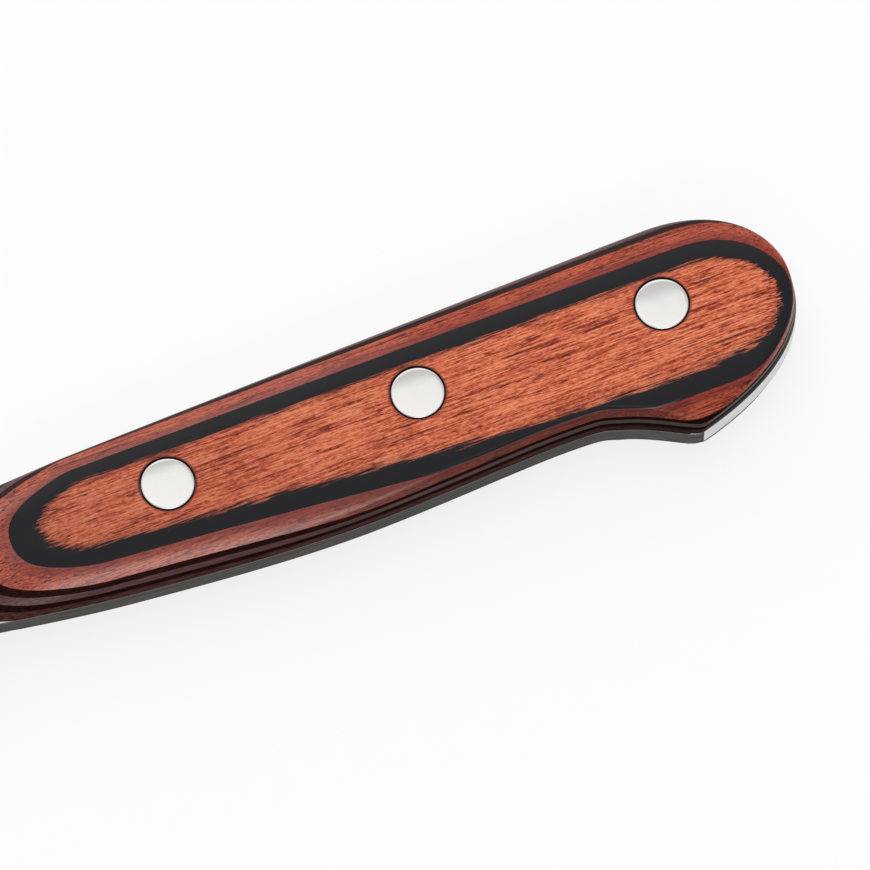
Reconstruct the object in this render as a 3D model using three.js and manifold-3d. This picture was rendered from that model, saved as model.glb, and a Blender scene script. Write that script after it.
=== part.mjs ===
// A kitchen utility knife with a full tang, lying on its right-hand side.
// Blade and tang are one piece of steel. Each scale is seven dyed plies of laminated wood,
// and three two-piece rivets hold both scales to the tang.
// Millimetres, +Z up. While the pieces are made, zero is the middle rivet at half the
// tang's thickness, X runs from the tip to the butt and Y from the edge to the spine.

import * as THREE from 'three';
import { mergeVertices, toCreasedNormals } from 'three/addons/utils/BufferGeometryUtils.js';
import { ParametricGeometry } from 'three/addons/geometries/ParametricGeometry.js';
import Module from 'manifold-3d';

// Outline of the handle, measured from the middle rivet and the line of the rivets
const frontReach = 57.5; // forward to the front of the scales
const buttReach = 48; // back to the end of the butt
const spineFront = 8.1; // up to the spine at the front
const spineRear = 10.7; // up to the spine where the butt begins to round
const spineCrown = 0.2; // how far the spine rises above a straight line
const bellyFront = 8; // down to the belly at the front
const palmSwell = 12.2; // down to the fullest part of the belly
const fingerHollow = 11.2; // down to the shallowest part of the finger hollow
const beakReach = 30.4; // back to the tip of the beak
const beakDrop = 16.05; // down to the tip of the beak
const beakRadius = 1.1;
const buttDrop = 0.8; // down to the middle of the butt's end
const noseBulge = 1; // how far the front of the scales curves forward

// Steel
const tangThickness = 3.5;
const neckLength = 7; // front of the scales to the heel
const bladeLength = 130;
const heelDrop = 17; // rivet line down to the edge at the heel
const tipDrop = 3.5; // rivet line down to the tip
const choilRadius = 5;
const tipThickness = 0.8; // at the spine, where the point begins
const edgeShoulder = 0.5; // thickness where the ground face meets the edge bevel
const edgeBevel = 0.9; // height of the edge bevel

// Plies of one scale, from the tang outward
const plies = [
  { name: 'ply_1_brown', thickness: 0.65, colour: '#4a2c2a' },
  { name: 'ply_2_black', thickness: 0.45, colour: '#241a1a' },
  { name: 'ply_3_red', thickness: 0.5, colour: '#5c3331' },
  { name: 'ply_4_black', thickness: 0.45, colour: '#2a1716' },
  { name: 'ply_5_orange', thickness: 1.15, colour: '#b0624d' },
  { name: 'ply_6_black', thickness: 0.7, colour: '#26272b' },
  { name: 'ply_7_orange', thickness: 0.3, colour: '#c26b4f' },
];

// Crown of a scale: a flat land with a round at each end, rolling off to every side
const landFront = { back: 15.5, drop: 0.15, radius: 1.6 }; // back from the front of the scales
const landRear = { ahead: 12.5, drop: 2.85, radius: 3.15, reach: 7.25 }; // ahead of the butt's end
const landBulge = 0.9; // how far the land swells towards the finger hollow
const rollFront = 11.4; // radius across the handle at the front of the land
const rollRear = 19; // radius across the handle at the rear of the land
const rollNose = 39; // radius along the handle towards the blade
const rollButt = 11.5; // radius along the handle towards the butt
const noseSquare = 0.5; // 1 keeps the corners at the blade end round, less squares them
const bellyDraft = THREE.MathUtils.degToRad(26); // lean of the ground belly and finger hollow
const edgeDraft = THREE.MathUtils.degToRad(5); // lean of all other edges of the scales

// Rivets
const rivetForward = 32.2; // middle rivet to the front one
const rivetBack = 31.6; // middle rivet to the rear one
const headRadius = 3.25;
const headThickness = 1.2;
const sleeveRadius = 2.25;
const postRadius = 1.5;
const sleeveWebs = 1.6; // steel left between the bore and the outside of the sleeve's head
const headClearance = 0.2;
const stemClearance = 0.15;
const boreClearance = 0.1;
const sleeveGap = 0.4; // between the end of the sleeve and the head of the post

const tangHalf = tangThickness / 2;
const scaleThickness = plies.reduce((sum, ply) => sum + ply.thickness, 0);
const faceHeight = tangHalf + scaleThickness;
const seatHeight = faceHeight - headThickness;
const heelX = -(frontReach + neckLength);
const tipX = heelX - bladeLength;
const rivetStations = { front: -rivetForward, middle: 0, rear: rivetBack };
const reach = 2 * (frontReach + buttReach + bladeLength); // larger than the whole knife
const outlineSteps = 8; // straight steps in each curve of an outline
const roundSteps = 24; // straight steps round a rivet or its hole

const wasm = await Module();
wasm.setup();

// Makes a closed geometry into a solid that can be cut; faces that collapsed to a line go.
function solid(geometry) {
  const bare = geometry.clone();
  bare.deleteAttribute('normal');
  bare.deleteAttribute('uv');
  const merged = mergeVertices(bare, 1e-5);
  const corners = merged.index.array;
  const triangles = [];
  for (let i = 0; i < corners.length; i += 3) {
    const [a, b, c] = corners.slice(i, i + 3);
    if (a !== b && b !== c && c !== a) triangles.push(a, b, c);
  }
  const mesh = new wasm.Mesh({
    numProp: 3,
    vertProperties: Float32Array.from(merged.attributes.position.array),
    triVerts: Uint32Array.from(triangles),
  });
  return new wasm.Manifold(mesh);
}

function geometryOf(body) {
  const mesh = body.getMesh();
  const geometry = new THREE.BufferGeometry();
  geometry.setAttribute('position', new THREE.BufferAttribute(mesh.vertProperties, 3));
  geometry.setIndex(new THREE.BufferAttribute(mesh.triVerts, 1));
  return geometry;
}

// The same form on the other side of the tang, its faces turned to point out again.
function mirrored(body) {
  const geometry = geometryOf(body);
  const corners = geometry.index.array;
  for (let i = 0; i < corners.length; i += 3) {
    [corners[i], corners[i + 1]] = [corners[i + 1], corners[i]];
  }
  const flip = new THREE.Matrix4().makeScale(1, 1, -1);
  geometry.applyMatrix4(flip);
  return solid(geometry);
}

// A shape drawn in X and Y, standing between two heights.
function prism(shape, bottom, top) {
  const options = { depth: top - bottom, bevelEnabled: false, curveSegments: outlineSteps };
  return solid(new THREE.ExtrudeGeometry(shape, options).translate(0, 0, bottom));
}

// A lathe profile given as radius and height, turned about Z.
function turned(profile) {
  const points = profile.map(([radius, height]) => new THREE.Vector2(radius, height));
  const upright = new THREE.Matrix4().set(1, 0, 0, 0, 0, 0, -1, 0, 0, 1, 0, 0, 0, 0, 0, 1);
  return solid(new THREE.LatheGeometry(points, roundSteps).applyMatrix4(upright));
}

// A skin over closed rings of points; the first and last rings shrink to a point as caps.
function lofted(rings) {
  const slices = rings[0].length;
  const first = rings[0].reduce((sum, p) => sum.add(p), new THREE.Vector3());
  const last = rings.at(-1).reduce((sum, p) => sum.add(p), new THREE.Vector3());
  const bottom = Array(slices).fill(first.divideScalar(slices));
  const top = Array(slices).fill(last.divideScalar(slices));
  const stack = [bottom, ...rings, top];
  const pick = (u, v, target) => {
    const ring = stack[Math.round(v * (stack.length - 1))];
    target.copy(ring[Math.round(u * slices) % slices]);
  };
  return solid(new ParametricGeometry(pick, slices, stack.length - 1));
}

// Belly from the front of the scales, over the palm swell and finger hollow, to the beak.
function bellyPoints() {
  const rise = palmSwell - bellyFront;
  const hook = beakDrop - fingerHollow;
  return [
    new THREE.Vector2(-0.7 * frontReach, -(bellyFront + 0.57 * rise)),
    new THREE.Vector2(-0.24 * frontReach, -palmSwell),
    new THREE.Vector2(0.48 * beakReach, -fingerHollow),
    new THREE.Vector2(0.73 * beakReach, -(fingerHollow + 0.2 * hook)),
    new THREE.Vector2(beakReach - beakRadius, -(beakDrop - 0.5 * beakRadius)),
  ];
}

function handleOutline() {
  const roundStart = 0.7 * buttReach;
  const shape = new THREE.Shape();
  shape.moveTo(-frontReach, spineFront);
  shape.quadraticCurveTo(-frontReach - 2 * noseBulge, 0, -frontReach, -bellyFront);
  shape.splineThru(bellyPoints());
  shape.quadraticCurveTo(
    beakReach, -beakDrop,
    beakReach + beakRadius, -(beakDrop - 0.35 * beakRadius),
  );
  shape.bezierCurveTo(
    0.845 * buttReach, -0.82 * beakDrop,
    buttReach, -0.54 * beakDrop,
    buttReach, -buttDrop,
  );
  shape.bezierCurveTo(
    buttReach, 0.58 * spineRear,
    0.86 * buttReach, spineRear,
    roundStart, spineRear,
  );
  shape.quadraticCurveTo(
    (roundStart - frontReach) / 2, (spineRear + spineFront) / 2 + 2 * spineCrown,
    -frontReach, spineFront,
  );
  shape.closePath();
  return shape;
}

// Everything above the belly line.
function bellySide() {
  const points = bellyPoints();
  const beak = points.at(-1);
  const shape = new THREE.Shape();
  shape.moveTo(-reach, -bellyFront);
  shape.lineTo(-frontReach, -bellyFront);
  shape.splineThru(points);
  shape.lineTo(beak.x + reach, beak.y - 0.5 * reach);
  shape.lineTo(beak.x + reach, reach);
  shape.lineTo(-reach, reach);
  shape.closePath();
  return shape;
}

// A shape standing on the tang whose walls lean inward as they rise.
function leaning(shape, draft) {
  const rise = 1.2 * scaleThickness;
  const lean = rise * Math.tan(draft);
  const geometry = new THREE.ExtrudeGeometry(shape, {
    depth: rise,
    curveSegments: outlineSteps,
    bevelEnabled: true,
    bevelSegments: 1,
    bevelThickness: rise,
    bevelSize: lean,
    bevelOffset: -lean,
  });
  return solid(geometry.translate(0, 0, tangHalf - rise));
}

// Edge of the crown's land as points with outward normals: a small round towards the blade,
// a longer one towards the butt, a straight spine side and a swelling belly side.
function landEdge(rearSteps = 11, frontSteps = 8, bellySteps = 7) {
  const front = new THREE.Vector2(landFront.back - frontReach, -landFront.drop);
  const rear = new THREE.Vector2(buttReach - landRear.ahead, -landRear.drop);
  const axis = rear.clone().sub(front);
  const tangent = Math.acos((landFront.radius - landRear.radius) / axis.length());
  const edge = [];
  const add = (centre, angle, radius, length, swell) => {
    const normal = new THREE.Vector2(Math.cos(angle), Math.sin(angle));
    const point = new THREE.Vector2(Math.max(0, normal.x) * (length - radius), 0);
    point.add(centre).addScaledVector(normal, radius + swell);
    edge.push({ point, normal });
  };
  const turn = (from, to, share) => axis.angle() + THREE.MathUtils.lerp(from, to, share);
  for (let i = 0; i <= rearSteps; i += 1) {
    add(rear, turn(-tangent, tangent, i / rearSteps), landRear.radius, landRear.reach, 0);
  }
  for (let i = 0; i <= frontSteps; i += 1) {
    const angle = turn(tangent, 2 * Math.PI - tangent, i / frontSteps);
    add(front, angle, landFront.radius, landFront.radius, 0);
  }
  for (let i = 1; i < bellySteps; i += 1) {
    const along = i / bellySteps;
    const radius = THREE.MathUtils.lerp(landFront.radius, landRear.radius, along);
    const swell = landBulge * Math.sin(Math.PI * along ** 2);
    add(front.clone().lerp(rear, along), turn(-tangent, 0, 0), radius, radius, swell);
  }
  return edge;
}

// Crowned block: its top is the land, and every section falls away from it on a radius
// that grows from the front of the handle to the rear.
function crown(depthSteps = 7) {
  const edge = landEdge();
  const deepest = 1.12 * scaleThickness;
  const fall = (radius, depth) => Math.sqrt(2 * radius * depth - depth * depth);
  const span = frontReach + buttReach - landFront.back - landRear.ahead;
  const ringAt = (depth, height) => edge.map(({ point, normal }) => {
    const along = (point.x + frontReach - landFront.back) / span;
    const across = fall(THREE.MathUtils.lerp(rollFront, rollRear, along), depth);
    const ends = fall(normal.x < 0 ? rollNose : rollButt, depth);
    const share = THREE.MathUtils.smoothstep(Math.abs(normal.x), 0, 1);
    const length = THREE.MathUtils.lerp(across, ends, share);
    const square = 1 - (1 - noseSquare) * Math.max(0, -normal.x) * (depth / deepest);
    return new THREE.Vector3(
      point.x + Math.sign(normal.x) * Math.abs(normal.x) ** square * length,
      point.y + Math.sign(normal.y) * Math.abs(normal.y) ** square * across,
      height,
    );
  });
  const rings = [ringAt(deepest, -2 * faceHeight)];
  for (let i = depthSteps; i >= 0; i -= 1) {
    const depth = deepest * (i / depthSteps) ** 2;
    rings.push(ringAt(depth, faceHeight - depth));
  }
  return lofted(rings);
}

function hole(x, radius, bottom, top) {
  const geometry = new THREE.CylinderGeometry(radius, radius, top - bottom, roundSteps);
  const upright = new THREE.Matrix4().set(1, 0, 0, 0, 0, 0, -1, 0, 0, 1, 0, 0, 0, 0, 0, 1);
  return solid(geometry.applyMatrix4(upright).translate(x, 0, (bottom + top) / 2));
}

// Blade sections from inside the handle to the point: a full-thickness neck, a short blend
// at the plunge, then flat ground faces that thin towards the edge and towards the tip.
function bladeBody() {
  const plungeStart = -frontReach - 1.5 * noseBulge;
  const plungeEnd = heelX - 0.5 * noseBulge;
  const stations = [0.5 * (landFront.back - 2 * frontReach), plungeStart];
  for (let i = 1; i <= 6; i += 1) stations.push(THREE.MathUtils.lerp(plungeStart, plungeEnd, i / 6));
  for (let i = 1; i <= 20; i += 1) {
    stations.push(THREE.MathUtils.lerp(plungeEnd, tipX, 0.997 * (1 - (1 - i / 20) ** 1.6)));
  }
  const section = (x) => {
    const along = Math.max(0, (heelX - x) / bladeLength);
    const ground = THREE.MathUtils.smoothstep(plungeStart - x, 0, plungeStart - plungeEnd);
    const spine = spineFront - (spineFront + tipDrop) * along ** 2.2;
    const edge = -heelDrop + (heelDrop - tipDrop) * along ** 4.5;
    const back = THREE.MathUtils.lerp(tangHalf, tipThickness / 2, along);
    const shoulder = THREE.MathUtils.lerp(tangHalf, (edgeShoulder / 2) * (1 - 0.5 * along), ground);
    const bevel = Math.min(edgeBevel, 0.35 * (spine - edge));
    return [
      new THREE.Vector3(x, spine, back),
      new THREE.Vector3(x, spine, -back),
      new THREE.Vector3(x, edge + bevel, -shoulder),
      new THREE.Vector3(x, edge, 0),
      new THREE.Vector3(x, edge + bevel, shoulder),
    ];
  };
  const heel = new THREE.Shape();
  heel.moveTo(0, reach);
  heel.lineTo(-reach, reach);
  heel.lineTo(-reach, -reach);
  heel.lineTo(heelX, -reach);
  heel.lineTo(heelX, -bellyFront - choilRadius);
  heel.quadraticCurveTo(heelX, -bellyFront, heelX + choilRadius, -bellyFront);
  heel.lineTo(0, -bellyFront);
  heel.closePath();
  return lofted(stations.map(section)).intersect(prism(heel, -faceHeight, faceHeight));
}

const outline = handleOutline();
const crownBody = crown();

let steel = prism(outline, -tangHalf, tangHalf).add(bladeBody());
const ground = leaning(outline, edgeDraft).intersect(leaning(bellySide(), bellyDraft));
let scale = ground.intersect(crownBody);
for (const x of Object.values(rivetStations)) {
  const stemHole = sleeveRadius + stemClearance;
  steel = steel.subtract(hole(x, stemHole, -2 * tangHalf, 2 * tangHalf));
  scale = scale.subtract(hole(x, stemHole, 0, 2 * faceHeight));
  scale = scale.subtract(hole(x, headRadius + headClearance, seatHeight, 2 * faceHeight));
}

const knife = new THREE.Group();
knife.name = 'utility_knife';
function piece(name, body, colour, roughness, metalness) {
  const material = new THREE.MeshStandardMaterial({ color: colour, roughness, metalness });
  const mesh = new THREE.Mesh(toCreasedNormals(geometryOf(body), Math.PI / 7), material);
  mesh.name = name;
  knife.add(mesh);
}

piece('blade_with_tang', steel, '#a9aaa8', 0.35, 1);

// Each scale is cut into its plies at the glue lines.
let glueLine = tangHalf;
for (const ply of plies) {
  const sheet = new THREE.BoxGeometry(reach, reach, ply.thickness);
  const body = scale.intersect(solid(sheet.translate(0, 0, glueLine + ply.thickness / 2)));
  piece(`left_${ply.name}`, body, ply.colour, 0.32, 0);
  piece(`right_${ply.name}`, mirrored(body), ply.colour, 0.32, 0);
  glueLine += ply.thickness;
}

// A rivet is a headed post pressed into a headed sleeve; both heads are ground to the crown.
const boreEnd = sleeveWebs - faceHeight;
const post = [
  [0, boreEnd], [postRadius, boreEnd], [postRadius, seatHeight],
  [headRadius, seatHeight], [headRadius, 2 * faceHeight], [0, 2 * faceHeight],
];
const sleeve = [
  [0, -2 * faceHeight], [headRadius, -2 * faceHeight], [headRadius, -seatHeight],
  [sleeveRadius, -seatHeight], [sleeveRadius, seatHeight - sleeveGap],
  [postRadius + boreClearance, seatHeight - sleeveGap],
  [postRadius + boreClearance, boreEnd], [0, boreEnd],
];
const crownBelow = mirrored(crownBody);
for (const [place, x] of Object.entries(rivetStations)) {
  const at = (profile) => solid(geometryOf(turned(profile)).translate(x, 0, 0));
  piece(`${place}_rivet_post`, at(post).intersect(crownBody), '#d6d5d1', 0.3, 1);
  piece(`${place}_rivet_sleeve`, at(sleeve).intersect(crownBelow), '#d6d5d1', 0.3, 1);
}

// The finished knife rests on the ground with its middle over the origin.
const bounds = new THREE.Box3().setFromObject(knife);
const middle = bounds.getCenter(new THREE.Vector3());
knife.position.set(-middle.x, -middle.y, -bounds.min.z);
knife.updateMatrixWorld(true);

export default knife;
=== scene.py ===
from math import cos, pi, radians, sin

import bmesh
import bpy
import numpy as np
from mathutils import Matrix, Vector


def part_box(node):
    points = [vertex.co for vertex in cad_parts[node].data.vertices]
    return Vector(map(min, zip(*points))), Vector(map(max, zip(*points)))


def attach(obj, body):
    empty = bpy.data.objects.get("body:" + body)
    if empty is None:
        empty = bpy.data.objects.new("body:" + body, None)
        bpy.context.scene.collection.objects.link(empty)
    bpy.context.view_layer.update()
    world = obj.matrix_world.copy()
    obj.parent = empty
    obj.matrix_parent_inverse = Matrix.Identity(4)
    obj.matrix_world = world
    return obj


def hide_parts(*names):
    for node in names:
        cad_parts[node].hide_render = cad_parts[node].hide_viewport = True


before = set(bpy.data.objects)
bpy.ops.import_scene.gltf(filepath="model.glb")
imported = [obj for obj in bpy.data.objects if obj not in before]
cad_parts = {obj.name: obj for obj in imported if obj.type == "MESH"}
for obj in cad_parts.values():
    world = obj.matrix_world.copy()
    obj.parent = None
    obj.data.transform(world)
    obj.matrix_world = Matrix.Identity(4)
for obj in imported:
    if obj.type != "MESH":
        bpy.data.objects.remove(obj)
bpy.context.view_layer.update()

# Blade and tang
# One blank of stainless steel, stamped, tapered and flat ground, with a full tang that shows as
# a bare strip between the scales. The faces are satin ground and the cutting edge is honed. The
# rim has sanding lines along it and is made dark by painted shade, apart from the butt, which
# carries a painted highlight.

# Plan points are complex numbers in millimetres, measured from the middle rivet.
mm = 0.001
low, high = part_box("middle_rivet_post")
rivet = complex(low.x + high.x, low.y + high.y) / 2 / mm
low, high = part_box("blade_with_tang")
middle = (low.z + high.z) / 2 / mm

# Outline of the tang, which is the outline of the scales too
front_spine, front_belly = -57.5 + 8.1j, -57.5 - 8j
belly_knots = [
    front_belly, -40.25 - 10.394j, -13.8 - 12.2j, 14.592 - 11.2j, 22.192 - 12.17j, 29.3 - 15.5j,
]
beak_end, butt_end, butt_top = 31.5 - 15.665j, 48 - 0.8j, 33.6 + 10.7j
beak_front, butt_front = 22.0, 31.0

# Half thicknesses of the steel, and the small flat that breaks its arrises
tang_half, tip_half, shoulder_half, edge_half = 1.75, 0.4, 0.25, 0.01
broken_edge, spine_break = 0.1, 0.12

# Blade, with powers that shape the sweep of its spine and edge from the heel to the tip
blade_length = 130
heel_x, heel_y = -64.5, -17
tip_x = heel_x - blade_length
edge_rise, edge_power = 13.5, 4.5
spine_fall, spine_power = 11.6, 2.2
honed_height = 0.9
neck_end, plunge = -59, 6
choil_front, choil_radius = -59.5, 5


def bend(start, first, second, end, steps):
    """A cubic curve between two plan points, without its last point."""
    t = np.arange(steps) / steps
    u = 1 - t
    return start * u**3 + 3 * first * u**2 * t + 3 * second * u * t**2 + end * t**3


def through(knots, steps):
    """A smooth curve through plan points, without its last point."""
    ends = [knots[0], *knots, knots[-1]]
    runs = []
    for before, start, end, after in zip(ends, ends[1:], ends[2:], ends[3:]):
        runs.append(bend(start, start + (end - before) / 6, end - (after - start) / 6, end, steps))
    return np.concatenate(runs)


front_edge = bend(front_spine, -58.833 + 2.7j, -58.833 - 2.667j, front_belly, 24)
belly_edge = through(belly_knots, 24)
beak_edge = bend(belly_knots[-1], 30.033 - 15.867j, 30.767 - 15.922j, beak_end, 12)
butt_low = bend(beak_end, 40.56 - 13.161j, 48 - 8.667j, butt_end, 40)
butt_high = bend(butt_end, 48 + 6.206j, 41.28 + 10.7j, butt_top, 36)
spine_edge = bend(butt_top, 3.233 + 10.1j, -27.133 + 9.233j, front_spine, 90)


def wrap(bm, columns, rows, place):
    """Lays a sheet round the piece: place(column, row) gives each corner, and the sheet closes."""
    bmesh.ops.create_grid(bm, x_segments=columns, y_segments=rows - 1, size=1)
    bm.verts.ensure_lookup_table()
    for i, vert in enumerate(bm.verts):
        vert.co = place(i % (columns + 1) % columns, i // (columns + 1))
    bmesh.ops.remove_doubles(bm, verts=bm.verts, dist=1e-8)
    bmesh.ops.dissolve_degenerate(bm, edges=bm.edges, dist=1e-8)
    bmesh.ops.holes_fill(bm, edges=[e for e in bm.edges if e.is_boundary])
    bmesh.ops.recalc_face_normals(bm, faces=bm.faces)


def finished(bm, name, materials, crease=35):
    """A piece of the knife from its mesh, smooth apart from edges sharper than crease degrees."""
    mesh = bpy.data.meshes.new(name)
    bm.to_mesh(mesh)
    bm.free()
    mesh.shade_smooth()
    mesh.set_sharp_from_angle(angle=radians(crease))
    for material in materials:
        mesh.materials.append(material)
    piece = bpy.data.objects.new(name, mesh)
    bpy.context.scene.collection.objects.link(piece)
    return piece


def at(plan, height):
    """A plan point and a height over the middle of the tang, in metres in the shared frame."""
    point = rivet + plan
    return Vector((point.real, point.imag, middle + height)) * mm


class Wire:
    """A node and one of its outputs. Sums with wires and numbers add Math nodes."""

    def __init__(self, tree, kind, settings=None, sockets=None, out=0):
        node = tree.nodes.new(kind)
        for name, value in (settings or {}).items():
            if name == "stops":
                while len(node.color_ramp.elements) < len(value):
                    node.color_ramp.elements.new(0)
                for stop, (place, colour) in zip(node.color_ramp.elements, value):
                    stop.position, stop.color = place, (*colour, 1)
            else:
                setattr(node, name, value)
        for name, value in (sockets or {}).items():
            if isinstance(value, Wire):
                tree.links.new(value.socket, node.inputs[name])
            else:
                node.inputs[name].default_value = value
        self.tree = tree
        self.socket = node.outputs[out]

    def sum(self, operation, first, second=0):
        """One Math node on one or two values."""
        return Wire(self.tree, "ShaderNodeMath", {"operation": operation}, {0: first, 1: second})

    def __add__(self, other):
        return self.sum("ADD", self, other)

    def __sub__(self, other):
        return self.sum("SUBTRACT", self, other)

    def __rsub__(self, other):
        return self.sum("SUBTRACT", other, self)

    def __mul__(self, other):
        return self.sum("MULTIPLY", self, other)

    __radd__, __rmul__ = __add__, __mul__

    def __abs__(self):
        return self.sum("ABSOLUTE", self)

    def greater(self, other):
        """The larger of the two."""
        return self.sum("MAXIMUM", self, other)

    def between(self, start, end):
        """0 up to start and 1 from end, smooth between them."""
        sockets = {"Value": self, "From Min": start, "From Max": end}
        settings = {"interpolation_type": "SMOOTHSTEP"}
        return Wire(self.tree, "ShaderNodeMapRange", settings, sockets)

    def blend(self, first, second):
        """From the first colour to the second as this goes from 0 to 1."""
        ends = [c if isinstance(c, Wire) else (*c, 1) for c in (first, second)]
        sockets = {0: self, 6: ends[0], 7: ends[1]}
        return Wire(self.tree, "ShaderNodeMix", {"data_type": "RGBA"}, sockets, 2)


def new_finish(name):
    """A material, its tree, its shader and the place on the piece, for one finish."""
    material = bpy.data.materials.new(name)
    material.use_nodes = True
    tree = material.node_tree
    place = Wire(tree, "ShaderNodeTexCoord", out="Object")
    return material, tree, tree.nodes["Principled BSDF"], place


def streaks(place, along, across, upward, detail=3.0, turn=0.0):
    """Noise with so many waves a millimetre along, across and through the piece."""
    sockets = {
        "Vector": place,
        "Rotation": (0, 0, radians(turn)),
        "Scale": (along / mm, across / mm, upward / mm),
    }
    moved = Wire(place.tree, "ShaderNodeMapping", {}, sockets)
    sockets = {"Vector": moved, "Scale": 1.0, "Detail": detail, "Roughness": 0.6}
    return Wire(place.tree, "ShaderNodeTexNoise", {}, sockets)


def feed(tree, shader, **links):
    """Links wires to the shader's sockets, named with low lines for spaces."""
    for name, wire in links.items():
        tree.links.new(wire.socket, shader.inputs[name.replace("_", " ")])


def plan_of(place):
    """Millimetres along and across the knife from the middle rivet."""
    axes = [Wire(place.tree, "ShaderNodeSeparateXYZ", {}, {0: place}, axis) for axis in "XY"]
    x, y = (axis * (1 / mm) for axis in axes)
    return x - rivet.real, y - rivet.imag


def grey(level):
    """A neutral colour."""
    return (level, level, level)


# Faces: long grinding lines with soft clouds
satin, tree, shader, place = new_finish("satin_steel")
shader.inputs["Metallic"].default_value = 1.0
shader.inputs["Specular Tint"].default_value = (0.8, 0.8, 0.8, 1)
lines = streaks(place, 0.02, 6.0, 6.0)
cloud = streaks(place, 0.15, 0.3, 0.3)
tone = (lines - 0.5) * 0.8 + (cloud - 0.5) * 0.3 + 0.5
feed(tree, shader, Base_Color=tone.blend(grey(0.28), (0.5, 0.5, 0.49)))
feed(tree, shader, Roughness=0.26 + 0.2 * lines)

# Cutting edge: short lines across it, from the stone
honed, tree, shader, place = new_finish("honed_steel")
shader.inputs["Metallic"].default_value = 1.0
lines = streaks(place, 7.0, 0.4, 0.4)
feed(tree, shader, Base_Color=lines.blend(grey(0.26), grey(0.42)))
feed(tree, shader, Roughness=0.2 + 0.15 * lines)


def rim_steel(name, glancing, painted_butt_highlight):
    """Rim steel with sanding lines along it, made dark as painted shade. Glancing is its tint when
    seen edge on; below 1 it is painted shade on the edge-on reflection.
    """
    material, tree, shader, place = new_finish(name)
    shader.inputs["Metallic"].default_value = 1.0
    shader.inputs["Specular Tint"].default_value = (*grey(glancing), 1)
    lines = streaks(place, 0.05, 1.0, 7.0)
    tone = lines.between(0.3, 0.7)
    # Painted shade: the rim's steel colour is made dark.
    colour = tone.blend((0.15, 0.146, 0.144), (0.23, 0.226, 0.223))
    if painted_butt_highlight:
        x, y = plan_of(place)
        # Painted highlight: the rim is made light on the butt's lower side and at its far end.
        bright = (1 - y.between(-6, 4)).greater(x.between(butt_front, 46))
        colour = bright.blend(colour, tone.blend(grey(0.56), grey(0.74)))
    feed(tree, shader, Base_Color=colour, Roughness=0.34 + 0.2 * lines)
    return material


shaded_rim = rim_steel("rim_steel_painted_shade", 0.1, False)
highlit_rim = rim_steel("rim_steel_painted_highlight", 1.0, True)


# A row of the blank: its x, spine and lower edge, half its thickness at the spine, the height
# of its lower bevel, and half its thickness where that bevel starts and ends.
def tang_row(x, spine, belly):
    """The blank at x along the tang and the neck, flat on both faces."""
    return x, spine, belly, tang_half, broken_edge, tang_half, tang_half - broken_edge


def ground_row(x, belly=None):
    """The ground blank at x, down to the belly of the choil or else to the cutting edge."""
    along = max(0.0, (heel_x - x) / blade_length)
    ground = min(1.0, max(0.0, (neck_end - x) / plunge))
    ground = ground * ground * (3 - 2 * ground)
    spine = front_spine.imag - spine_fall * along**spine_power
    edge = heel_y + edge_rise * along**edge_power
    back = tang_half + (tip_half - tang_half) * along
    shoulder = tang_half + (shoulder_half * (1 - 0.5 * along) - tang_half) * ground
    bevel = min(honed_height, 0.35 * (spine - edge))
    if belly is None:
        return x, spine, edge, back, bevel, shoulder, edge_half
    share = (spine - belly) / (spine - edge - bevel)
    width = back + (shoulder - back) * share
    return x, spine, belly, back, broken_edge, width, width - broken_edge


def blank_rows():
    """Rows of the blank from the butt to the point."""
    top = np.concatenate([spine_edge[::-1], butt_high[::-1], [butt_end]])
    under = np.concatenate([belly_edge, beak_edge, butt_low, [butt_end]])
    rounding = 1 - np.cos(np.linspace(0, pi / 2, 40))
    stations = np.concatenate([
        butt_end.real - (butt_end.real - butt_front) * rounding,
        np.linspace(butt_front, beak_front, 40)[1:],
        np.linspace(beak_front, front_belly.real, 90)[1:],
    ])
    rows = []
    for x in stations:
        spine = np.interp(x, top.real, top.imag)
        rows.append(tang_row(x, spine, np.interp(x, under.real, under.imag)))
    for x in np.linspace(front_belly.real, neck_end, 25):
        rows.append(tang_row(x, front_spine.imag, front_belly.imag))
    for t in np.linspace(0, 1, 30):
        belly = front_belly.imag - choil_radius * (1 - (1 - t) ** 2)
        rows.append(ground_row(choil_front - choil_radius * t**2, belly))
    for t in np.linspace(0, 1, 100):
        rows.append(ground_row(heel_x - 0.998 * blade_length * (1 - (1 - t) ** 1.5)))
    return rows


steel_rows = blank_rows()


def blank_corner(column, row):
    """One of the nine corners of a row, from the spine round to the spine."""
    x, spine, edge, back, bevel, shoulder, land = steel_rows[row]
    crest = min(spine_break, 0.3 * (spine - edge), 0.4 * back)
    half = [
        (spine, 0), (spine, back - crest), (spine - crest, back),
        (min(spine - crest, edge + bevel), shoulder), (edge, land),
    ]
    ring = half + [(y, -z) for y, z in half[:0:-1]]
    y, z = ring[column]
    return at(complex(x, y), z)


bm = bmesh.new()
wrap(bm, 9, len(steel_rows), blank_corner)
finishes = [satin, shaded_rim, highlit_rim, honed]
point, butt = at(tip_x + 4, 0).x, at(butt_front, 0).x
for face in bm.faces:
    x = face.calc_center_median().x
    heights = [abs(vert.co.z / mm - middle) for vert in face.verts]
    if x < point:
        finish = satin
    elif abs(face.normal.z) < 0.9:
        finish = highlit_rim if x > butt else shaded_rim
    elif any(abs(height - edge_half) < 0.002 for height in heights):
        finish = honed
    else:
        finish = satin
    face.material_index = finishes.index(finish)
blade = finished(bm, "blade", finishes, 8)
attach(blade, "root")
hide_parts("blade_with_tang")

# Scales
# Two slabs of seven veneers each, dyed, resin filled, pressed and glued to the tang, then
# ground to the outline, hollowed for the fingers and crowned, so the cut plies show as bands.

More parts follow.
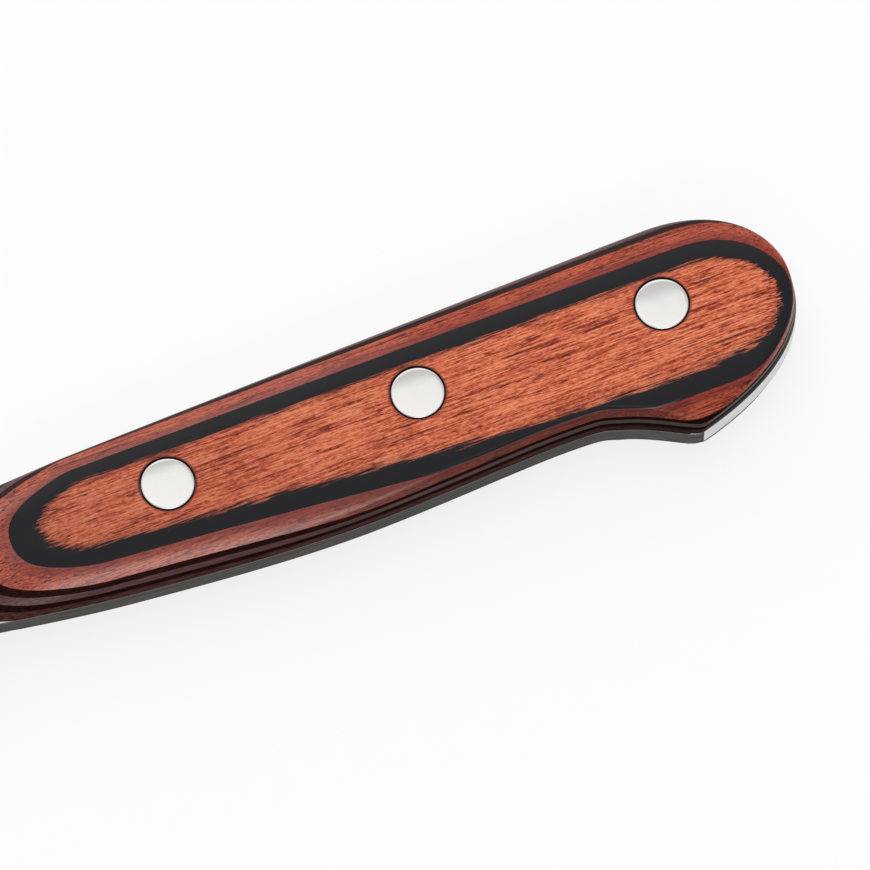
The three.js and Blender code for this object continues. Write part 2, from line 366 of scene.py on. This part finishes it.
# Plies from the tang outward, with their thicknesses
plies = [
    ("ply_1_brown", 0.65), ("ply_2_black", 0.45), ("ply_3_red", 0.5), ("ply_4_black", 0.45),
    ("ply_5_orange", 1.15), ("ply_6_black", 0.7), ("ply_7_orange", 0.3),
]
scale_height = 4.2
rivet_places = {"front": -32.2, "middle": 0.0, "rear": 31.6}
countersink_radius, countersink_depth = 3.45, 1.2

# The flat land along the middle of the crown, the radii that roll off from it, and how square
# the corners at the blade end get by a depth
land_front, land_rear = -42 - 0.15j, 35.5 - 2.85j
front_radius, rear_radius, rear_stretch, belly_swell = 1.6, 3.15, 4.1, 0.9
roll_front, roll_rear, roll_nose, roll_butt = 11.4, 19, 39, 11.5
nose_square, square_depth = 0.5, 4.7

# How far the walls lean in: the edges, the belly, and the foot of the butt beyond the edges
edge_draft, belly_draft, butt_draft = radians(5), radians(26), radians(5.5)
wall_arris, crown_arris = 0.6, 0.7
run_out, nose_run_out = 30, 9


def land_edge():
    """Rim of the flat along the middle of a scale, with the way it faces at each point."""
    middle_line = land_rear - land_front
    axis = np.angle(middle_line)
    lean = np.arccos((front_radius - rear_radius) / abs(middle_line))
    rear = np.exp(1j * (axis + np.linspace(-lean, lean, 61)))
    front = np.exp(1j * (axis + np.linspace(lean, 2 * pi - lean, 41)))
    along = np.linspace(0, 1, 42)[1:-1]
    belly = np.full(40, np.exp(1j * (axis - lean)))
    radius = front_radius + (rear_radius - front_radius) * along
    swell = belly_swell * np.sin(pi * along**2)
    points = np.concatenate([
        land_rear + rear_radius * rear + rear_stretch * np.maximum(0, rear.real),
        land_front + front_radius * front,
        land_front + middle_line * along + (radius + swell) * belly,
    ])
    return points, np.concatenate([rear, front, belly])


land, facing = land_edge()


def crown_ring(depth):
    """Where the crown has fallen by depth below the land."""
    def fall(radius):
        return np.sqrt(2 * radius * depth - depth**2)

    nx, ny = facing.real, facing.imag
    along = (land.real - land_front.real) / (land_rear - land_front).real
    across = fall(roll_front + (roll_rear - roll_front) * along)
    share = nx**2 * (3 - 2 * abs(nx))
    length = across + (fall(np.where(nx < 0, roll_nose, roll_butt)) - across) * share
    square = 1 - nose_square * np.maximum(0, -nx) * depth / square_depth
    ring = land + np.sign(nx) * abs(nx) ** square * length
    ring = ring + 1j * np.sign(ny) * abs(ny) ** square * across
    return np.append(ring, ring[0])


def leaned(edge, lean, before=0, after=0):
    """An edge moved inward by lean, with straight run-outs along its ends."""
    way = np.gradient(edge)
    way = way / abs(way)
    moved = edge + 1j * way * lean
    return np.concatenate([
        [moved[0] - before * way[0]] if before else [],
        moved,
        [moved[-1] + after * way[-1]] if after else [],
    ])


def core_of(points):
    """The nearest place to each plan point on the line along the middle of the land."""
    share = (points.real - land_front.real) / (land_rear - land_front).real
    return land_front + (land_rear - land_front) * np.clip(share, 0, 1)


def reach(core, outward, path):
    """How far each line from the core runs outward before it meets the path."""
    away = (path[None, :] - core[:, None]) * outward.conj()[:, None]
    side, ahead = away.imag, away.real
    share = side[:, :-1] / (side[:, :-1] - side[:, 1:] + 1e-12)
    meet = ahead[:, :-1] + share * (ahead[:, 1:] - ahead[:, :-1])
    return np.where((side[:, :-1] * side[:, 1:] <= 0) & (meet > 0), meet, 1e3).min(axis=1)


def softer(first, second, radius):
    """The nearer of two reaches, with the arris between them rubbed round."""
    gap = np.maximum(radius - abs(first - second), 0) / radius
    return np.minimum(first, second) - gap**2 * radius / 4


rim = np.concatenate([front_edge, belly_edge, beak_edge, butt_low, butt_high, spine_edge])
core = core_of(rim)
outward = (rim - core) / abs(rim - core)


def section(height):
    """Rim of a scale at a height over the tang's face."""
    front = np.append(front_edge, front_belly)
    belly = np.append(belly_edge, belly_knots[-1])
    rear = np.concatenate([beak_edge, butt_low, butt_high, spine_edge, [front_spine]])
    front_lean, belly_lean = height * np.tan(edge_draft), height * np.tan(belly_draft)
    rear_lean = height * np.tan(edge_draft + butt_draft * np.clip(-rear.imag / 10, 0, 1))
    front = leaned(front, front_lean, nose_run_out, nose_run_out)
    belly = leaned(belly, belly_lean, run_out, run_out)
    wall = reach(core, outward, leaned(rear, rear_lean, after=run_out))
    wall = softer(wall, reach(core, outward, front), wall_arris)
    wall = softer(wall, reach(core, outward, belly), wall_arris)
    crown = reach(core, outward, crown_ring(scale_height - height))
    return core + outward * softer(wall, crown, min(crown_arris, 0.1 + height))


def dye(red, green, blue):
    """A colour as a screen shows it, made linear."""
    return tuple(((c / 255 + 0.055) / 1.055) ** 2.4 for c in (red, green, blue))


def height_of(place):
    """Millimetres from the tang's face outward, on either side."""
    z = Wire(place.tree, "ShaderNodeSeparateXYZ", {}, {0: place}, "Z")
    return abs(z * (1 / mm) - middle) - tang_half


def orange_grain(place, light, fair, deep, dark, turn=-5.0):
    """Dyed veneer with pores and lanes along the grain, soft clouds and fine flecks."""
    pores = streaks(place, 0.15, 7.0, 7.0, 2, turn)
    cloud = streaks(place, 0.15, 0.4, 0.4, 3, turn)
    fleck = streaks(place, 1.6, 5.0, 5.0, 2, turn)
    long_lines = 1 - abs(streaks(place, 0.04, 1.7, 1.7, 1, turn) - 0.5).between(0.0, 0.05)
    short_lines = 1 - abs(streaks(place, 0.13, 2.8, 2.8, 1, turn) - 0.5).between(0.0, 0.045)
    broken = streaks(place, 0.25, 1.4, 1.4, 2, turn).between(0.38, 0.64)
    tone = 0.6 + (pores - 0.5) * 0.8 + (cloud - 0.5) * 0.3 + (fleck - 0.5) * 0.75
    tone = tone - (long_lines * 0.3 + short_lines * 0.38) * (0.2 + 0.8 * broken)
    stops = [(0.2, dark), (0.37, deep), (0.53, fair), (0.72, light)]
    return Wire(place.tree, "ShaderNodeValToRGB", {"stops": stops}, {0: tone}), pores


def black_grain(place, tone):
    """Black dyed veneer, close and even, with a faint thread along the grain."""
    thread = streaks(place, 0.1, 4.0, 4.0, 3)
    return thread.blend(tuple(0.75 * c for c in tone), tuple(1.3 * c for c in tone))


def polished(tree, shader, pores, depth, gloss=0.15):
    """A resin filled, buffed surface, a little open at the pores."""
    shader.inputs["Specular IOR Level"].default_value = gloss
    sockets = {"Strength": 0.25, "Distance": depth * mm, "Height": pores}
    bump = Wire(tree, "ShaderNodeBump", {}, sockets)
    feed(tree, shader, Roughness=0.44 - 0.12 * pores, Normal=bump)


def face_veneer():
    """Finish of the two outer plies: where they part, orange fibres feather into the black.

    The black is made pale along the arris of the finger hollow as a painted highlight. The orange
    is darker where it thins out, and painted shade darkens it round the rivets and towards the
    blade.
    """
    material, tree, shader, place = new_finish("face_veneer")
    orange, pores = orange_grain(
        place, dye(232, 139, 101), dye(201, 96, 62), dye(150, 56, 36), dye(88, 32, 23)
    )
    black = black_grain(place, dye(20, 19, 24))
    ragged = streaks(place, 0.22, 5.0, 5.0, 5, -5)
    x, y = plan_of(place)
    height = height_of(place)

    # Painted highlight along the arris of the finger hollow.
    hollow = x.between(-4, 8) * (1 - x.between(26, 30)) * (1 - y.between(-8, -5))
    arris_highlight = (1 - height.between(3.2, 3.3)) * hollow * 0.6
    black = arris_highlight.blend(black, dye(150, 132, 126))

    height = height + (ragged - 0.5) * (0.75 - 0.25 * y.between(-3, 2))
    # Darker where the orange thins out over the black; round the rivets and towards the blade it
    # is painted shade.
    thin_edge_and_shade = (1 - height.between(3.88, 4.06)) * 0.45
    for spot in rivet_places.values():
        away = (x - spot) * (x - spot) + y * y
        thin_edge_and_shade = thin_edge_and_shade + 0.7 - away.between(countersink_radius**2, 3.75**2) * 0.7
    thin_edge_and_shade = thin_edge_and_shade + 0.3 - x.between(-56, 20) * 0.3
    orange = thin_edge_and_shade.blend(orange, dye(96, 44, 40))

    feed(tree, shader, Base_Color=height.between(3.86, 3.92).blend(black, orange))
    polished(tree, shader, pores, 0.03)
    return material


def inner_orange():
    """Finish of the thick orange ply: redder at the top, darkened by painted shade on the belly
    walls from the finger hollow back, glossy at the front.
    """
    material, tree, shader, place = new_finish("inner_orange")
    orange, pores = orange_grain(
        place, dye(190, 92, 62), dye(158, 62, 41), dye(110, 34, 26), dye(58, 17, 14)
    )
    x, y = plan_of(place)
    # Painted shade on the belly walls, from the finger hollow back to the beak.
    hollow_shade = x.between(-34, 0) * (1 - x.between(24, 32)) * (1 - y.between(-9, -6)) * 0.62
    orange = hollow_shade.blend(orange, dye(70, 28, 24))
    red = height_of(place).between(2.6, 3.1) * 0.6
    feed(tree, shader, Base_Color=red.blend(orange, dye(108, 32, 31)))
    polished(tree, shader, pores, 0.02)
    feed(tree, shader, Coat_Weight=0.55 - 0.5 * x.between(-14, 8))
    shader.inputs["Coat Roughness"].default_value = 0.22
    return material


def edge_veneer(name, light, dark, gloss):
    """Finish of a dark inner ply, of which only the cut edge shows, in threads, darkened by
    painted shade on the belly walls from the finger hollow back.
    """
    material, tree, shader, place = new_finish(name)
    thread = streaks(place, 0.04, 5.0, 9.0, 3)
    x, y = plan_of(place)
    threaded = thread.between(0.36, 0.64).blend(dark, light)
    # Painted shade on the belly walls, from the finger hollow back to the butt.
    hollow_shade = x.between(2, 26) * (1 - y.between(-9, -6)) * 0.6
    feed(tree, shader, Base_Color=hollow_shade.blend(threaded, dye(20, 11, 11)))
    polished(tree, shader, thread, 0.02, gloss)
    feed(tree, shader, Coat_Weight=0.3 * y.between(-1, 4))
    shader.inputs["Coat Roughness"].default_value = 0.3
    return material


outer_veneer = face_veneer()
veneers = {
    "ply_7_orange": outer_veneer,
    "ply_6_black": outer_veneer,
    "ply_5_orange": inner_orange(),
    "ply_4_black": edge_veneer("dark_veneer", dye(50, 22, 19), dye(26, 10, 9), 0.01),
    "ply_3_red": edge_veneer("red_veneer", dye(92, 46, 45), dye(44, 20, 20), 0.35),
    "ply_2_black": edge_veneer("black_veneer", dye(42, 18, 17), dye(22, 9, 9), 0.01),
    "ply_1_brown": edge_veneer("brown_veneer", dye(88, 54, 50), dye(44, 24, 23), 0.05),
}

# The drill that cuts the countersinks down to the seats of the rivet heads
seat = tang_half + scale_height - countersink_depth
drill_length = 4
bm = bmesh.new()
for x in rivet_places.values():
    for sign in (1, -1):
        made = bmesh.ops.create_cone(
            bm, cap_ends=True, segments=96, radius1=countersink_radius * mm,
            radius2=countersink_radius * mm, depth=drill_length * mm,
        )
        centre = at(x, sign * (seat + drill_length / 2))
        bmesh.ops.translate(bm, verts=made["verts"], vec=centre)
drill = finished(bm, "drill", [outer_veneer])


def drilled(piece):
    """Cuts the rivets' countersinks out of the piece."""
    cut = piece.modifiers.new("drill", "BOOLEAN")
    cut.object, cut.operation, cut.solver = drill, "DIFFERENCE", "EXACT"
    graph = bpy.context.evaluated_depsgraph_get()
    mesh = bpy.data.meshes.new_from_object(piece.evaluated_get(graph))
    piece.modifiers.clear()
    piece.data = mesh
    mesh.set_sharp_from_angle(angle=radians(35))


glue = 0.0
for name, thickness in plies:
    inner, outer = scale_height - glue, max(0, scale_height - glue - thickness)
    depths = np.linspace(inner**0.5, outer**0.5, 9) ** 2
    rings = [(height, section(height)) for height in scale_height - depths]
    if name == "ply_7_orange":
        top = rings[-1][1]
        rings += [(scale_height, core + (top - core) * share) for share in (0.75, 0.5)]
    for side, sign in (("left", 1), ("right", -1)):
        def veneer_corner(column, row):
            height, ring = rings[row]
            return at(ring[column], sign * (tang_half + height))

        bm = bmesh.new()
        wrap(bm, len(rim), len(rings), veneer_corner)
        piece = finished(bm, f"{side}_{name}_veneer", [veneers[name]])
        if glue + thickness > seat - tang_half:
            drilled(piece)
        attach(piece, "root")
        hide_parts(f"{side}_{name}")
    glue += thickness
bpy.data.objects.remove(drill)

# Rivets
# Headed posts of stainless steel pressed into headed sleeves, their slightly convex heads
# ground flush with the crown, so that only a fine dark ring parts each from the wood.

# Radius and height of the head's profile over the crown, and the stem below it
head_profile = [
    (0, 0.02), (1.2, 0.018), (2.1, 0.01), (2.8, 0.0), (3.1, -0.015), (3.2, -0.05), (3.25, -0.12),
]
head_radius, head_bottom, stem_bottom = 3.25, -1.1, -9.0
stem_radii = {"post": 1.5, "sleeve": 2.25}
crown_depths = np.linspace(0, 1, 21) ** 2


def crown_depth(plan):
    """How far the crown lies below the land at a plan point over the handle."""
    spot = np.array([plan])
    start = core_of(spot)
    way = spot - start
    if abs(way[0]) < 1e-6:
        return 0.0
    reaches = [reach(start, way / abs(way), crown_ring(depth))[0] for depth in crown_depths]
    return float(np.interp(abs(way[0]), reaches, crown_depths))


bright, tree, shader, place = new_finish("bright_steel")
shader.inputs["Metallic"].default_value = 1.0
grit = streaks(place, 6.0, 6.0, 6.0)
scour = streaks(place, 1.0, 14.0, 4.0, 3, 35)
tone = 0.5 + (grit - 0.5) * 0.4 + (scour - 0.5) * 0.4
feed(tree, shader, Base_Color=tone.blend((0.46, 0.452, 0.44), (0.54, 0.532, 0.52)))
feed(tree, shader, Roughness=0.18 + 0.12 * grit)

for where, x in rivet_places.items():
    for kind, sign in (("post", 1), ("sleeve", -1)):
        radius = stem_radii[kind]
        stem = [
            (head_radius, head_bottom), (radius, head_bottom), (radius, stem_bottom),
            (0, stem_bottom),
        ]
        bm = bmesh.new()
        profile = [bm.verts.new((r, 0, h)) for r, h in head_profile + stem]
        edges = [bm.edges.new(pair) for pair in zip(profile, profile[1:])]
        bmesh.ops.spin(
            bm, geom=profile + edges, cent=(0, 0, 0), axis=(0, 0, 1), angle=2 * pi,
            steps=72, use_merge=True,
        )
        bmesh.ops.remove_doubles(bm, verts=bm.verts, dist=1e-5)
        for vert in bm.verts:
            plan = complex(x + vert.co.x, vert.co.y)
            fall = crown_depth(plan) if vert.co.z > -0.2 else 0.0
            vert.co = at(plan, sign * (tang_half + scale_height + vert.co.z - fall))
        bmesh.ops.recalc_face_normals(bm, faces=bm.faces)
        piece = finished(bm, f"{where}_{kind}_head", [bright], 60)
        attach(piece, "root")
        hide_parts(f"{where}_rivet_{kind}")

# Floor and light
# A sheet of white paper under a large soft box overhead, with a lower one behind the knife and
# a small strip in front of it, in a bright room that is lightest at the back.


def seen(tree):
    """1 for what the camera, a mirror or a glass sees, 0 for light on its way."""
    camera, mirror, glass = (
        Wire(tree, "ShaderNodeLightPath", out=f"Is {kind} Ray")
        for kind in ("Camera", "Glossy", "Transmission")
    )
    return camera.greater(mirror).greater(glass)


# The paper glows a little where it is seen, and is duller for the light that it throws back.
paper = bpy.data.materials.new("paper")
paper.use_nodes = True
tree = paper.node_tree
tree.nodes.clear()
place = Wire(tree, "ShaderNodeTexCoord", out="Object")
fibre = Wire(tree, "ShaderNodeTexNoise", {}, {"Vector": place, "Scale": 300.0})
dull = fibre.blend(grey(0.5), grey(0.55))
white = fibre.blend(grey(0.92), grey(0.96))
matte = Wire(tree, "ShaderNodeBsdfDiffuse", {}, {"Color": seen(tree).blend(dull, white)})
glow = Wire(tree, "ShaderNodeEmission", {}, {"Strength": 1.0})
sheet = Wire(tree, "ShaderNodeMixShader", {}, {0: seen(tree) * 0.8, 1: matte, 2: glow})
tree.links.new(sheet.socket, tree.nodes.new("ShaderNodeOutputMaterial").inputs["Surface"])

bm = bmesh.new()
bmesh.ops.create_grid(bm, x_segments=8, y_segments=8, size=4)
floor = finished(bm, "floor", [paper])


def soft_box(name, where, size, power):
    """A rectangular lamp that faces the handle."""
    lamp = bpy.data.lights.new(name, "AREA")
    lamp.shape = "RECTANGLE"
    lamp.size, lamp.size_y = size
    lamp.energy = power
    box = bpy.data.objects.new(name, lamp)
    box.location = where
    box.rotation_euler = (at(0, 0) - Vector(where)).to_track_quat("-Z", "Y").to_euler()
    box.visible_camera = False
    bpy.context.scene.collection.objects.link(box)


soft_box("key", (0.2, 0.2, 1.8), (2.0, 1.1), 6)
soft_box("rear", (0.25, 1.5, 0.98), (2.4, 0.7), 6)
soft_box("strip", (-0.12, -0.85, 0.85), (0.6, 0.22), 3)

room = bpy.data.worlds.new("room")
bpy.context.scene.world = room
room.use_nodes = True
tree = room.node_tree
tree.nodes.clear()
way = Wire(tree, "ShaderNodeTexCoord", out="Generated")
rear = Wire(tree, "ShaderNodeSeparateXYZ", {}, {0: way}, "Y")
white = (1, 1, 1, 1)
lit = Wire(tree, "ShaderNodeBackground", {}, {"Color": white, "Strength": 0.62 + 0.56 * rear})
plain = Wire(tree, "ShaderNodeBackground", {}, {"Color": white, "Strength": 1.0})
walls = Wire(tree, "ShaderNodeMixShader", {}, {0: seen(tree), 1: lit, 2: plain})
tree.links.new(walls.socket, tree.nodes.new("ShaderNodeOutputWorld").inputs["Surface"])

# Camera
# A long lens nearly overhead, tipped towards the belly and turned so that the handle rises to
# the right. It fills the picture with the handle and leaves the blade out.

tilt, turn = radians(19), radians(21.09)
picture_width = 870 / 8.3
right = Vector((cos(turn), -sin(turn), 0))
up = Vector((sin(turn) * cos(tilt), cos(turn) * cos(tilt), sin(tilt)))
back = right.cross(up)
target = at(0, tang_half + scale_height) + (2.088 * right - 5.145 * up) * mm
lens = bpy.data.cameras.new("camera")
lens.lens = 500
camera = bpy.data.objects.new("camera", lens)
camera.location = target + back * (picture_width * mm * lens.lens / lens.sensor_width)
camera.rotation_mode = "QUATERNION"
camera.rotation_quaternion = Matrix((right, up, back)).transposed().to_quaternion()
bpy.context.scene.collection.objects.link(camera)
bpy.context.scene.camera = camera

bpy.context.scene.view_settings.view_transform = "Standard"
